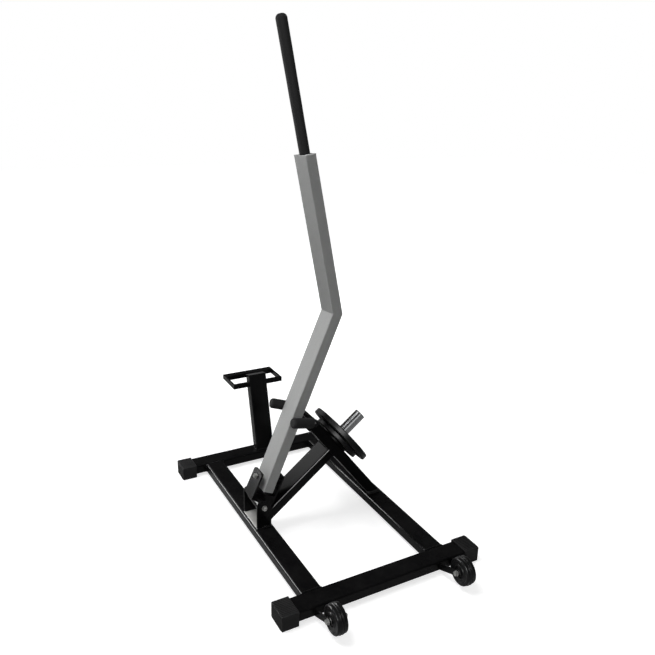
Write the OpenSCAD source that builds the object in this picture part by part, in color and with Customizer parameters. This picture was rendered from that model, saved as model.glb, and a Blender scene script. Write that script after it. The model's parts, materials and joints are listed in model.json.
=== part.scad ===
// Floor-standing side-push abdominal machine with a plate-loaded weight arm.
// X runs along the cross tubes, Y along the rails to the rear, Z up from the floor.

/* [Base frame] */
// Length of each cross tube
cross_len = 872; // [760:5:1000]
// Width of the base tubes laid flat
tube_w = 85; // [70:1:95]
// Height of the base tubes
tube_h = 45; // [36:1:52]
// Wall of every rectangular tube
tube_t = 3; // [2:0.5:4]
// Distance between the centre lines of the two rails
rail_gauge = 560; // [540:2:580]
// Length of each rail between the cross tubes
rail_len = 1030; // [940:2:1120]
// Length of the rubber end caps
cap_len = 63; // [45:1:80]
// Rubber wall of the end caps round the tube
cap_wall = 4.5; // [3.5:0.5:6]
// Thickness of the rubber foot below the tube
cap_foot = 14; // [8:1:20]
// Height of the ribs on the caps
cap_rib = 1.6; // [0.8:0.1:2.2]
// Pitch of the ribs on the caps
cap_pitch = 8; // [6:0.5:12]

/* [Transport wheels] */
// Radius of the wheels
wheel_r = 56; // [48:1:57]
// Width of the wheel tyres
wheel_w = 42; // [28:1:50]
// Radius of the wheel hubs
wheel_hub_r = 24; // [18:1:30]
// Distance of the wheel axle in front of the front tube
wheel_fwd = 99; // [90:1:120]
// Height of the wheel axle above the top of the base tubes
wheel_up = 13; // [8:1:20]
// Thickness of the bracket plates
bracket_t = 5; // [4:0.5:8]
// Height of the bracket plates
bracket_h = 27; // [24:1:30]
// Offset of the left bracket plate from the rail centre line
bracket_off = 30; // [24:1:34]
// Radius of the wheel bolts
wheel_bolt_r = 6; // [5:0.5:8]

/* [Rear post and pad ring] */
// Width of the post
post_w = 92; // [70:1:100]
// Depth of the post
post_d = 46; // [34:1:52]
// Length of the post along its front face
post_len = 385; // [356:1:460]
// Backward lean of the post in degrees
post_lean = 14.4; // [10:0.1:16]
// Outside width of the pad ring
ring_w = 262; // [220:2:300]
// Outside depth of the pad ring
ring_d = 154; // [130:2:180]
// Width of the two side bars of the ring
ring_side = 8; // [6:0.5:16]
// Width of the front bar of the ring
ring_front = 14; // [12:0.5:20]
// Width of the rear bar of the ring
ring_rear = 34; // [24:1:40]
// Height of the ring bars
ring_h = 23; // [14:1:26]
// Height of the top of the ring above the base tubes
ring_top = 340; // [300:2:345]
// Radius of the pad screw holes in the ring
screw_r = 3.25; // [2.5:0.25:4]
// Distance of the pad screw holes from the sides of the ring
screw_in = 30; // [20:0.5:40]

/* [Pivot] */
// Distance of the pivot from the front face of the frame
pivot_y = 585; // [500:5:640]
// Height of the axle above the base tubes
axle_h = 95; // [93:1:104]
// Radius of the axle
axle_r = 6; // [5:0.5:9]
// Clear space between the two upright plates
pivot_gap = 133; // [126:1:140]
// Thickness of the upright plates and the base plate
pivot_t = 6; // [5:0.5:8]
// Width of the upright plates
pivot_w = 65; // [58:1:72]
// Height of the upright plates above the axle
pivot_over = 30; // [24:1:36]
// Outer radius of the hub tube on the axle
hub_r = 25; // [20:0.5:26]

/* [Weight arm] */
// Depth of the arm, bar and lever tubes along Y
arm_d = 98; // [86:1:102]
// Thickness of the arm tube
arm_h = 46; // [36:1:50]
// Slope of the arm at rest in degrees
arm_slope = 38.2; // [37.6:0.1:38.6]
// Distance of the arm centre line below the axle, square to the arm
arm_drop = 72.7; // [71:0.1:77]
// Start of the arm tube, measured along the arm from the axle
arm_start = -18; // [-22:1:-8]
// Distance from the axle to the centre of the rest bar, along the arm
bar_s = 383; // [380:1:386]
// Thickness of the rest bar
bar_t = 45; // [42:1:48]
// Height of the top of the rest bar, square to the arm from the axle
bar_top = 120; // [92:1:124]
// Thickness of the strip on the bar's lever side, below the pegs
strip_t = 8; // [4:0.5:12]
// Height of that strip
strip_h = 26; // [16:1:40]
// Thickness of the rubber pad under the rest bar
rest_t = 14; // [10:1:18]
// Length of the rubber pad along Y
rest_d = 114; // [104:1:124]
// Width of the rubber pad
rest_w = 56; // [52:1:64]
// Gap between the rubber pad and the rail at rest
rest_gap = 0.3; // [0.2:0.1:0.6]

/* [Plates and sleeve] */
// Outer radius of the sleeve
sleeve_r = 25; // [24:0.5:25.5]
// Wall of the sleeve
sleeve_t = 4; // [3:0.5:6]
// Length of the sleeve beyond the rest bar
sleeve_len = 165; // [150:1:240]
// Radius of the collar disc
collar_r = 66; // [50:1:80]
// Thickness of the collar disc
collar_t = 8; // [5:1:12]
// Radius of the small plate
small_r = 112; // [100:1:120]
// Thickness of the small plate
small_t = 22; // [18:1:26]
// Radius of the big plate
big_r = 149; // [130:1:152]
// Thickness of the big plate
big_t = 25; // [20:1:30]
// Radius of the raised boss round the bore of the big plate
boss_r = 32; // [29:0.5:40]
// Height of that boss above the rim
boss_h = 4; // [2:0.5:6]
// Clearance round the sleeve in the plate bores
plate_fit = 0.5; // [0.4:0.1:1]

/* [Lever] */
// Thickness of the lever tube
lever_h = 47; // [36:1:50]
// Tilt of the lower part of the lever from upright in degrees
lever_tilt = 24.9; // [23:0.1:26]
// Bend between the lower and the upper part in degrees
lever_bend = 35.6; // [28:0.1:38]
// Length from the lever bolt to the bend
lever_low = 754; // [700:2:800]
// Length from the bend to the end of the tube
lever_up = 650; // [580:2:700]
// Lean of the lever to the rear, against the rear peg
lever_lean = 3.5; // [0.5:0.1:4.5]
// Length of the tube below the lever bolt
lever_tail = 45; // [40:1:48]
// Distance of the lever bolt from the axle, along the arm
bolt_s = 92.6; // [91:0.2:94]
// Distance of the lever bolt from the axle, square to the arm
bolt_m = 44.2; // [43:0.2:46]
// Radius of the lever bolt
bolt_r = 6; // [5:0.5:8]
// Wall of the bushing round the lever bolt
bush_t = 8; // [5:0.5:10]
// Half distance between the outer faces of the ears
ear_n = 55; // [50:0.5:58]
// Thickness of the ears
ear_t = 8; // [6:0.5:9]
// Width of the ears along Y
ear_w = 76; // [66:1:90]
// Height of the left ear above the lever bolt
ear_top = 27; // [22:1:32]
// Extra height of the right ear
ear_more = 7; // [0:1:12]
// Radius of the upper corners of the ears
ear_rc = 12; // [6:1:18]
// Play of the lever in the yoke
yoke_play = 0.6; // [0.4:0.1:1.2]
// Radius of the grip
grip_r = 22; // [18:0.5:24]
// Length of the grip
grip_len = 500; // [400:2:540]
// Radius of the steel rod inside the grip
rod_r = 12.5; // [10:0.5:14]

/* [Fork] */
// Radius of the rubber pegs
peg_r = 21.5; // [16:0.5:22.5]
// Length of the pegs
peg_len = 126; // [112:1:156]
// Outward splay of the pegs in degrees
peg_splay = 11; // [9:0.5:16]
// Dip of the pegs below square to the lever, in degrees
peg_dip = 8; // [0:0.5:12]
// Shift of the cross rod from the middle of the bar toward the plates
rod_shift = 10; // [0:0.5:10]
// Radius of the cross rod that carries the pegs
fork_r = 12; // [10:0.5:14]

/* [Hidden] */
eps = 0.05;
plug_play = 0.05;
fit = 0.06;
z_tube = cap_foot;
z_top = z_tube + tube_h;
rear_y = tube_w + rail_len;
rail_x = rail_gauge / 2;
gap = 0.3;
hex_h = 0.62;
// Side of the blocks that only cut something away
cut = cross_len;
washer_t = 3;
washer_k = 1.9;
// Foot of the post, front and rear edge of the ring, and the shift that centres the object on the origin
post_y0 = rear_y + (tube_w - post_d / cos(post_lean)) / 2;
ring_y0 = post_y0 + ring_top * tan(post_lean);
ring_y1 = ring_y0 + ring_d;
y_mid = (ring_y1 - wheel_fwd - wheel_r) / 2;
// Directions in the X-Z plane of the weight arm
axle_z = z_top + axle_h;
bar_near = bar_s - bar_t / 2;
bar_far = bar_s + bar_t / 2;
// Lever directions written along the arm and square to it
lever_a = lever_tilt + arm_slope;
us = sin(lever_a);
um = cos(lever_a);
ns = cos(lever_a);
nm = -sin(lever_a);
// Root of the peg axes in the lever directions: height along the lever and distance across it
fork_m = bar_top + fork_r;
fork_s = bar_s + rod_shift;
fork_u = (fork_s - bolt_s) * us + (fork_m - bolt_m) * um;
fork_n = (fork_s - bolt_s) * ns + (fork_m - bolt_m) * nm;
// Distance of the peg roots from the middle, so that the leaning lever just meets the rear peg
lever_side = arm_d / 2 / cos(lever_lean) + fork_u * tan(lever_lean);
peg_out = sin(lever_lean) * sin(peg_dip) * cos(peg_splay) + cos(lever_lean) * sin(peg_splay);
peg_back = cos(peg_dip) * cos(peg_splay);
peg_y = lever_side + ((peg_r + gap) * sqrt(pow(peg_out, 2) + pow(peg_back, 2)) - (fork_n - lever_h / 2) * peg_out)
  / (cos(lever_lean) * peg_back);
// Place of the rubber pad under the rest bar
pad_x = -rail_x + bar_s * cos(arm_slope)
  + (axle_z + bar_s * sin(arm_slope) - z_top - rest_t / 2) * tan(arm_slope);

// Placing helpers
module place() { translate([0, -y_mid, 0]) children(); }
// Arm frame: X along the arm, Z square to it, origin on the axle
module arm_frame() { place() translate([-rail_x, pivot_y, axle_z]) rotate([0, -arm_slope, 0]) children(); }
// Lever frame: Z along the lower tube, X along the lever bolt, origin on the bolt
module lever_frame() { arm_frame() translate([bolt_s, 0, bolt_m]) rotate([0, lever_a, 0]) children(); }
// The same, leaning against the rear peg
module lean_frame() { lever_frame() rotate([-lever_lean, 0, 0]) children(); }
// Upper part of the lever: Z along the upper tube, origin at the bend
module upper_frame() { lean_frame() translate([0, 0, lever_low]) rotate([0, -lever_bend, 0]) children(); }
// Hollow rectangular tube along X, centred on Y and Z
module tube_x(l, w, h) {
  difference() {
    translate([0, -w / 2, -h / 2]) cube([l, w, h]);
    translate([-1, -w / 2 + tube_t, -h / 2 + tube_t]) cube([l + 2, w - 2 * tube_t, h - 2 * tube_t]);
  }
}
// Hexagon head or nut along Z with its washer below it
module hex_end(r) {
  cylinder(r = r * washer_k, h = washer_t, $fn = 40);
  translate([0, 0, washer_t]) cylinder(r = r * 1.7, h = r * 2 * hex_h, $fn = 6);
}
// Same with a hole for the shank
module hex_nut(r) {
  difference() {
    hex_end(r);
    translate([0, 0, -1]) cylinder(r = r, h = washer_t + r * 2 * hex_h + 2, $fn = 40);
  }
}

// Base frame
module cross_tube(y0) {
  color([0.05, 0.05, 0.055])
  place() translate([-cross_len / 2, y0 + tube_w / 2, z_tube + tube_h / 2]) tube_x(cross_len, tube_w, tube_h);
}
module front_tube() { cross_tube(0); }
module rear_tube() { cross_tube(rear_y); }
module rail(side) {
  color([0.05, 0.05, 0.055])
  place() translate([side * rail_x, tube_w, z_tube + tube_h / 2]) rotate([0, 0, 90]) tube_x(rail_len, tube_w, tube_h);
}
module rail_left() { rail(-1); }
module rail_right() { rail(1); }

// Rubber end cap: a cup over the tube end on a thick foot, with ribs on its top and end
module end_cap(side, y0) {
  w = tube_w + 2 * cap_wall;
  low = tube_h / 2 + cap_foot;
  h = low + tube_h / 2 + cap_wall;
  n = floor((w - cap_pitch) / cap_pitch);
  color([0.13, 0.13, 0.135])
  place() translate([side * (cross_len / 2 - cap_len), y0 + tube_w / 2, z_tube + tube_h / 2]) scale([side, 1, 1])
  difference() {
    union() {
      translate([0, -w / 2, -low]) cube([cap_len + cap_wall, w, h]);
      for (i = [0:n - 1])
        translate([2, (i - (n - 1) / 2) * cap_pitch - cap_pitch / 4, -low])
          cube([cap_len + cap_wall + cap_rib - 2, cap_pitch / 2, h + cap_rib]);
    }
    translate([-1, -tube_w / 2, -tube_h / 2]) cube([cap_len + 1, tube_w, tube_h]);
  }
}
module cap_front_left() { end_cap(-1, 0); }
module cap_front_right() { end_cap(1, 0); }
module cap_rear_left() { end_cap(-1, rear_y); }
module cap_rear_right() { end_cap(1, rear_y); }

// Rear post, cut level at its foot and square at its top
module post() {
  color([0.05, 0.05, 0.055])
  place() difference() {
    translate([0, post_y0, z_top]) rotate([-post_lean, 0, 0])
      difference() {
        translate([-post_w / 2, 0, -post_d]) cube([post_w, post_d, post_len + post_d]);
        translate([-post_w / 2 + tube_t, tube_t, -post_d - 1])
          cube([post_w - 2 * tube_t, post_d - 2 * tube_t, post_len + post_d + 2]);
      }
    translate([-post_w, post_y0 - post_w, z_top - 2 * post_d]) cube([2 * post_w, 3 * post_w, 2 * post_d]);
  }
}
// Plastic plug with a thin flange on top of the post
module post_cap() {
  color([0.08, 0.08, 0.085])
  place() translate([0, post_y0, z_top]) rotate([-post_lean, 0, 0]) translate([0, 0, post_len]) {
    translate([-post_w / 2, 0, 0]) cube([post_w, post_d, 2.5]);
    translate([-post_w / 2 + tube_t + plug_play, tube_t + plug_play, -12])
      cube([post_w - 2 * (tube_t + plug_play), post_d - 2 * (tube_t + plug_play), 12 + eps]);
  }
}
// Flat ring of bars that holds a pad, drilled for its screws, its front bar broken by the post
module pad_ring() {
  zr = z_top + ring_top - ring_h;
  color([0.05, 0.05, 0.055])
  place() difference() {
    translate([-ring_w / 2, ring_y0, zr]) cube([ring_w, ring_d, ring_h]);
    translate([-ring_w / 2 + ring_side, ring_y0 + ring_front, zr - 1])
      cube([ring_w - 2 * ring_side, ring_d - ring_front - ring_rear, ring_h + 2]);
    translate([0, post_y0, z_top]) rotate([-post_lean, 0, 0])
      translate([-post_w / 2, 0, 0]) cube([post_w, post_d, post_len + post_d]);
    for (sx = [-1, 1], y = [ring_y0 + ring_front / 2, ring_y1 - ring_front / 2])
      translate([sx * (ring_w / 2 - screw_in), y, zr - 1]) cylinder(r = screw_r, h = ring_h + 2, $fn = 32);
  }
}
// Pivot bracket on the left rail
module pivot_base() {
  color([0.62, 0.63, 0.64])
  place() translate([-rail_x - pivot_w / 2 - 1.5, pivot_y - pivot_gap / 2 - pivot_t, z_top])
    cube([pivot_w + 3, pivot_gap + 2 * pivot_t, pivot_t - 1]);
}
module pivot_plates() {
  z0 = z_top + pivot_t - 1;
  hgt = axle_z + pivot_over - z0;
  rc = pivot_w / 5;
  color([0.06, 0.06, 0.065])
  place() for (s = [-1, 1])
    translate([-rail_x, pivot_y + s * (pivot_gap + pivot_t) / 2 + pivot_t / 2, z0]) rotate([90, 0, 0])
      difference() {
        linear_extrude(height = pivot_t) union() {
          translate([-pivot_w / 2, 0]) square([pivot_w, hgt - rc]);
          translate([-pivot_w / 2 + rc, hgt - rc - eps]) square([pivot_w - 2 * rc, rc + eps]);
          for (c = [-1, 1]) translate([c * (pivot_w / 2 - rc), hgt - rc]) circle(r = rc, $fn = 48);
        }
        translate([0, axle_z - z0, -1]) cylinder(r = axle_r, h = pivot_t + 2, $fn = 48);
      }
}
// Axle with its hexagon head towards the front
module axle_bolt() {
  yf = pivot_gap / 2 + pivot_t;
  color([0.72, 0.73, 0.74])
  place() translate([-rail_x, pivot_y, axle_z]) {
    rotate([-90, 0, 0]) translate([0, 0, -yf]) cylinder(r = axle_r, h = 2 * yf + washer_t + axle_r * 2 * hex_h + 4, $fn = 48);
    translate([0, -yf, 0]) rotate([90, 0, 0]) hex_end(axle_r);
  }
}
module axle_nut() {
  yf = pivot_gap / 2 + pivot_t;
  color([0.72, 0.73, 0.74])
  place() translate([-rail_x, pivot_y + yf, axle_z]) rotate([-90, 0, 0]) hex_nut(axle_r);
}

// Transport wheels in front of the rails
wheel_z = z_top + wheel_up;
wheel_x = -bracket_off + bracket_t + washer_t;
hub_w = wheel_w + 4;
// Outer faces of the left and the right bracket plate, from the left face of the hub
plate_out = hub_w + washer_t + bracket_t;
module at_wheel(side) { place() translate([side * rail_x + wheel_x, -wheel_fwd, wheel_z]) rotate([0, 90, 0]) children(); }
// Flat strip from the front face of the tube to the wheel axle; each wheel runs between two of them
module wheel_bracket() {
  root = z_tube + tube_h / 2 - 4;
  a = atan2(wheel_z - root, wheel_fwd);
  l = wheel_fwd / cos(a);
  rotate([90, 0, 90]) difference() {
    intersection() {
      translate([0, root]) rotate([0, 0, 180 - a]) linear_extrude(height = bracket_t) union() {
        translate([-bracket_h, -bracket_h / 2]) square([l + bracket_h, bracket_h]);
        translate([l, 0]) circle(r = bracket_h / 2, $fn = 48);
      }
      translate([-2 * wheel_fwd, -wheel_fwd, -1]) cube([2 * wheel_fwd, 4 * wheel_fwd, bracket_t + 2]);
    }
    translate([-wheel_fwd, wheel_z, -1]) cylinder(r = wheel_bolt_r, h = bracket_t + 2, $fn = 40);
  }
}
module wheel_brackets() {
  color([0.06, 0.06, 0.065])
  place() for (s = [-1, 1], x = [-bracket_off, wheel_x + hub_w + washer_t]) translate([s * rail_x + x, 0, 0]) wheel_bracket();
}
module wheel_bolts() {
  color([0.72, 0.73, 0.74])
  for (s = [-1, 1]) at_wheel(s) {
    translate([0, 0, -bracket_t - washer_t])
      cylinder(r = wheel_bolt_r, h = bracket_t + plate_out + 3 * washer_t + wheel_bolt_r * 2 * hex_h, $fn = 40);
    translate([0, 0, -bracket_t - washer_t]) rotate([180, 0, 0]) hex_end(wheel_bolt_r);
    for (z = [-washer_t, hub_w + gap]) translate([0, 0, z]) cylinder(r = wheel_bolt_r * washer_k, h = washer_t - gap, $fn = 40);
  }
}
module wheel_nuts() {
  color([0.72, 0.73, 0.74])
  for (s = [-1, 1]) at_wheel(s) translate([0, 0, plate_out]) hex_nut(wheel_bolt_r);
}
// Tyre with three ridges round its tread
module tyre() {
  e = wheel_w / 2;
  rotate_extrude($fn = 72) polygon([[wheel_hub_r, 0], [wheel_r - 7, 0], [wheel_r - 2.5, 2.5], [wheel_r - 1.5, e - 6.5],
    [wheel_r, e - 5.5], [wheel_r, e - 3.5], [wheel_r - 1.5, e - 2.5], [wheel_r - 1.5, e + 2.5], [wheel_r, e + 3.5],
    [wheel_r, e + 5.5], [wheel_r - 1.5, e + 6.5], [wheel_r - 2.5, wheel_w - 2.5], [wheel_r - 7, wheel_w], [wheel_hub_r, wheel_w]]);
}
module wheel_hub() {
  difference() {
    union() {
      translate([0, 0, 2]) cylinder(r = wheel_hub_r, h = wheel_w, $fn = 64);
      cylinder(r = wheel_bolt_r * 2.1, h = hub_w, $fn = 48);
    }
    translate([0, 0, -1]) cylinder(r = wheel_bolt_r + fit, h = hub_w + 2, $fn = 48);
  }
}
module tyre_left() { color([0.07, 0.07, 0.075]) at_wheel(-1) translate([0, 0, 2]) tyre(); }
module tyre_right() { color([0.07, 0.07, 0.075]) at_wheel(1) translate([0, 0, 2]) tyre(); }
module wheel_hub_left() { color([0.1, 0.1, 0.105]) at_wheel(-1) wheel_hub(); }
module wheel_hub_right() { color([0.1, 0.1, 0.105]) at_wheel(1) wheel_hub(); }

// Weight arm: hub tube on the axle
module hub_tube() {
  l = pivot_gap - 2 * gap;
  color([0.06, 0.06, 0.065])
  arm_frame() rotate([-90, 0, 0]) translate([0, 0, -l / 2]) difference() {
    cylinder(r = hub_r, h = l, $fn = 64);
    translate([0, 0, -1]) cylinder(r = axle_r + fit, h = l + 2, $fn = 64);
  }
}
// Where the outer face of the right ear meets the top of the arm tube
web_u = -(lever_tail + 15);
arm_top_m = -arm_drop + arm_h / 2;
function ear_foot(n) = (arm_top_m - bolt_m - n * nm) / um;
// Ear from height u0 to u1 with its inner or outer face at n0, its upper corners rounded
module ear(n0, u0, u1) {
  translate([n0, 0, 0]) rotate([90, 0, 90]) linear_extrude(height = ear_t) union() {
    translate([-ear_w / 2, u0]) square([ear_w, u1 - u0 - ear_rc]);
    translate([-ear_w / 2 + ear_rc, u1 - ear_rc - eps]) square([ear_w - 2 * ear_rc, ear_rc + eps]);
    for (c = [-1, 1]) translate([c * (ear_w / 2 - ear_rc), u1 - ear_rc]) circle(r = ear_rc, $fn = 48);
  }
}
// Yoke: two ears, the web that joins them and two cheeks on the hub
module yoke() {
  in = ear_n - ear_t;
  hub_u = -(bolt_s * us + bolt_m * um);
  hub_n = -(bolt_s * ns + bolt_m * nm);
  cheek = ear_t;
  color([0.07, 0.07, 0.075])
  difference() {
    lever_frame() difference() {
      union() {
        // left ear
        ear(-ear_n, hub_u + hub_r / 2, ear_top);
        // right ear, carried down to the arm
        ear(in, ear_foot(in), ear_top + ear_more);
        translate([-in, -ear_w / 2, web_u - ear_t]) cube([2 * in, ear_w, ear_t]);
        for (s = [-1, 1]) translate([0, s * (ear_w - cheek) / 2 + cheek / 2, 0]) rotate([90, 0, 0])
          linear_extrude(height = cheek) polygon([[-in, web_u - ear_t], [in, web_u - ear_t], [in, ear_foot(in)],
            [in - 14, ear_foot(in) - 24], [hub_n + 12, hub_u - hub_r - 8], [hub_n + 4, hub_u],
            [hub_n - 6, hub_u], [-in, hub_u + hub_r / 2]]);
      }
      translate([-ear_n - 1, 0, 0]) rotate([0, 90, 0]) cylinder(r = bolt_r, h = 2 * ear_n + 2, $fn = 48);
    }
    arm_frame() rotate([-90, 0, 0]) translate([0, 0, -pivot_gap]) cylinder(r = hub_r, h = 2 * pivot_gap, $fn = 64);
    // nothing of the yoke goes below the top of the arm tube
    arm_frame() translate([-cut / 2, -cut / 2, arm_top_m - cut]) cube(cut);
  }
}
module arm_tube() {
  color([0.06, 0.06, 0.065])
  arm_frame() translate([arm_start, 0, -arm_drop]) tube_x(bar_near - arm_start, arm_d, arm_h);
}
module arm_plug() {
  color([0.1, 0.1, 0.105])
  arm_frame() translate([arm_start, 0, -arm_drop])
    translate([0, -arm_d / 2 + tube_t, -arm_h / 2 + tube_t]) cube([14, arm_d - 2 * tube_t, arm_h - 2 * tube_t]);
}
// Rest bar square to the arm, with a strip on its top end, cut level above its rubber pad
module rest_bar() {
  l = cut;
  zc = z_top + rest_gap + rest_t;
  color([0.06, 0.06, 0.065])
  difference() {
    arm_frame() difference() {
      union() {
        translate([bar_near, -arm_d / 2, bar_top - l]) cube([bar_t, arm_d, l]);
        translate([bar_near - strip_t, -arm_d / 2, bar_top - strip_h]) cube([strip_t + eps, arm_d, strip_h]);
      }
      translate([bar_near + tube_t, -arm_d / 2 + tube_t, bar_top - l - 1])
        cube([bar_t - 2 * tube_t, arm_d - 2 * tube_t, l - tube_t + 1]);
    }
    place() translate([-rail_x, pivot_y - cut / 2, zc - cut]) cube(cut);
  }
}
module rest_pad() {
  r = 5;
  color([0.1, 0.1, 0.105])
  place() translate([pad_x, pivot_y, z_top + rest_gap]) linear_extrude(height = rest_t) union() {
    translate([-rest_w / 2 + r, -rest_d / 2]) square([rest_w - 2 * r, rest_d]);
    translate([-rest_w / 2, -rest_d / 2 + r]) square([rest_w, rest_d - 2 * r]);
    for (a = [-1, 1], b = [-1, 1]) translate([a * (rest_w / 2 - r), b * (rest_d / 2 - r)]) circle(r = r, $fn = 32);
  }
}
// Cross rod on top of the rest bar and the two rubber pegs beside the lever
module fork_rod() {
  color([0.06, 0.06, 0.065])
  arm_frame() translate([fork_s, -peg_y, fork_m]) rotate([-90, 0, 0]) cylinder(r = fork_r, h = 2 * peg_y, $fn = 48);
}
module peg_frame(side) {
  arm_frame() translate([fork_s, side * peg_y, fork_m]) rotate([0, lever_a - peg_dip, 0]) rotate([0, 0, side * -peg_splay])
    rotate([0, -90, 0]) children();
}
stud_r = peg_r / 2;
// Steel studs inside the pegs, with a round shoulder that joins the cross rod
module peg_studs() {
  color([0.06, 0.06, 0.065])
  difference() {
    for (s = [-1, 1]) peg_frame(s) union() {
      translate([0, 0, 0]) cylinder(r = stud_r, h = peg_len - peg_r, $fn = 40);
      sphere(r = fork_r * 1.3, $fn = 40);
    }
    arm_frame() translate([fork_s, -peg_y, fork_m]) rotate([-90, 0, 0]) cylinder(r = fork_r, h = 2 * peg_y, $fn = 48);
    // flat where the shoulder would reach into the bar
    arm_frame() translate([bar_near, -arm_d / 2, bar_top - 60]) cube([bar_t, arm_d, 60]);
  }
}
module peg() {
  k = peg_r * 0.55;
  difference() {
    rotate_extrude($fn = 56) union() {
      translate([0, fork_r * 1.7]) square([peg_r, peg_len - k - fork_r * 1.7]);
      translate([0, peg_len - k - eps]) square([peg_r - k, k + eps]);
      intersection() {
        translate([peg_r - k, peg_len - k]) circle(r = k, $fn = 40);
        translate([0, 0]) square([peg_r, peg_len]);
      }
    }
    cylinder(r = stud_r, h = peg_len - peg_r, $fn = 40);
  }
}
module peg_front() { color([0.12, 0.12, 0.125]) peg_frame(-1) peg(); }
module peg_rear() { color([0.12, 0.12, 0.125]) peg_frame(1) peg(); }

// Sleeve in line with the arm, collar disc and plates
module along_arm(s) { arm_frame() translate([s, 0, -arm_drop]) rotate([0, 90, 0]) children(); }
module sleeve() {
  color([0.8, 0.81, 0.82])
  along_arm(bar_far) difference() {
    cylinder(r = sleeve_r, h = sleeve_len, $fn = 72);
    translate([0, 0, -1]) cylinder(r = sleeve_r - sleeve_t, h = sleeve_len + 2, $fn = 72);
  }
}
module sleeve_cap() {
  color([0.08, 0.08, 0.085])
  along_arm(bar_far + sleeve_len) {
    cylinder(r = sleeve_r, h = 3, $fn = 72);
    translate([0, 0, -18]) cylinder(r = sleeve_r - sleeve_t, h = 18 + eps, $fn = 72);
  }
}
module collar() {
  color([0.06, 0.06, 0.065])
  along_arm(bar_far) difference() {
    cylinder(r = collar_r, h = collar_t, $fn = 72);
    translate([0, 0, -1]) cylinder(r = sleeve_r, h = collar_t + 2, $fn = 72);
  }
}
// Cast plate with a raised rim and hub, and a boss on its outer face where it has one
module disc(r, t, boss = 0) {
  b = sleeve_r + plate_fit;
  rim = r * 0.13;
  sink = t * 0.22;
  rotate_extrude($fn = 96) polygon(concat([[b, 0], [b + 18, 0], [b + 22, sink], [r - rim - 4, sink], [r - rim, 0],
    [r - 3, 0], [r, 3], [r, t - 3], [r - 3, t], [r - rim, t], [r - rim - 4, t - sink], [b + 22, t - sink], [b + 18, t]],
    boss > 0 ? [[boss_r, t], [boss_r - 1, t + boss], [b, t + boss]] : [[b, t]]));
}
small_s = bar_far + collar_t + gap;
big_s = small_s + small_t + gap;
module plate_small() { color([0.09, 0.09, 0.095]) along_arm(small_s) disc(small_r, small_t); }
module plate_big() { color([0.09, 0.09, 0.095]) along_arm(big_s) disc(big_r, big_t, boss_h); }

// Lever bolt through the ears, head on the left
module lever_bolt() {
  color([0.72, 0.73, 0.74])
  lever_frame() rotate([0, 90, 0]) {
    translate([0, 0, -ear_n]) cylinder(r = bolt_r, h = 2 * ear_n + washer_t + bolt_r * 2 * hex_h + 4, $fn = 48);
    translate([0, 0, -ear_n]) rotate([180, 0, 0]) hex_end(bolt_r);
  }
}
module lever_nut() {
  color([0.72, 0.73, 0.74])
  lever_frame() rotate([0, 90, 0]) translate([0, 0, ear_n]) hex_nut(bolt_r);
}
// Outline of the bent lever, half thickness h, starting u0 below the bolt
function strip(h, u0, l2) = [[-h, u0], [h, u0], [h, lever_low + h * tan(lever_bend / 2)],
  [h * cos(lever_bend) - l2 * sin(lever_bend), lever_low + h * sin(lever_bend) + l2 * cos(lever_bend)],
  [-h * cos(lever_bend) - l2 * sin(lever_bend), lever_low - h * sin(lever_bend) + l2 * cos(lever_bend)],
  [-h, lever_low - h * tan(lever_bend / 2)]];
bush_r = bolt_r + bush_t;
module lever_tube() {
  color([0.66, 0.67, 0.67])
  lean_frame() difference() {
    translate([0, arm_d / 2, 0]) rotate([90, 0, 0]) linear_extrude(height = arm_d)
      polygon(strip(lever_h / 2, -lever_tail, lever_up));
    translate([0, arm_d / 2 - tube_t, 0]) rotate([90, 0, 0]) linear_extrude(height = arm_d - 2 * tube_t)
      polygon(strip(lever_h / 2 - tube_t, -lever_tail - 1, lever_up + 1));
    rotate([0, 90, 0]) translate([0, 0, -lever_h]) cylinder(r = bush_r, h = 2 * lever_h, $fn = 56);
  }
}
// Bushing tube across the lever, as wide as the yoke allows
module lever_bush() {
  l = 2 * (ear_n - ear_t - yoke_play);
  color([0.7, 0.71, 0.72])
  lean_frame() rotate([0, 90, 0]) translate([0, 0, -l / 2]) difference() {
    cylinder(r = bush_r, h = l, $fn = 56);
    translate([0, 0, -1]) cylinder(r = bolt_r + fit, h = l + 2, $fn = 56);
  }
}
module lever_foot_cap() {
  color([0.09, 0.09, 0.095])
  lean_frame() translate([0, 0, -lever_tail]) {
    translate([-lever_h / 2, -arm_d / 2, -2.5]) cube([lever_h, arm_d, 2.5]);
    translate([-lever_h / 2 + tube_t + plug_play, -arm_d / 2 + tube_t + plug_play, -eps])
      cube([lever_h - 2 * (tube_t + plug_play), arm_d - 2 * (tube_t + plug_play), 14]);
  }
}
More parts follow.
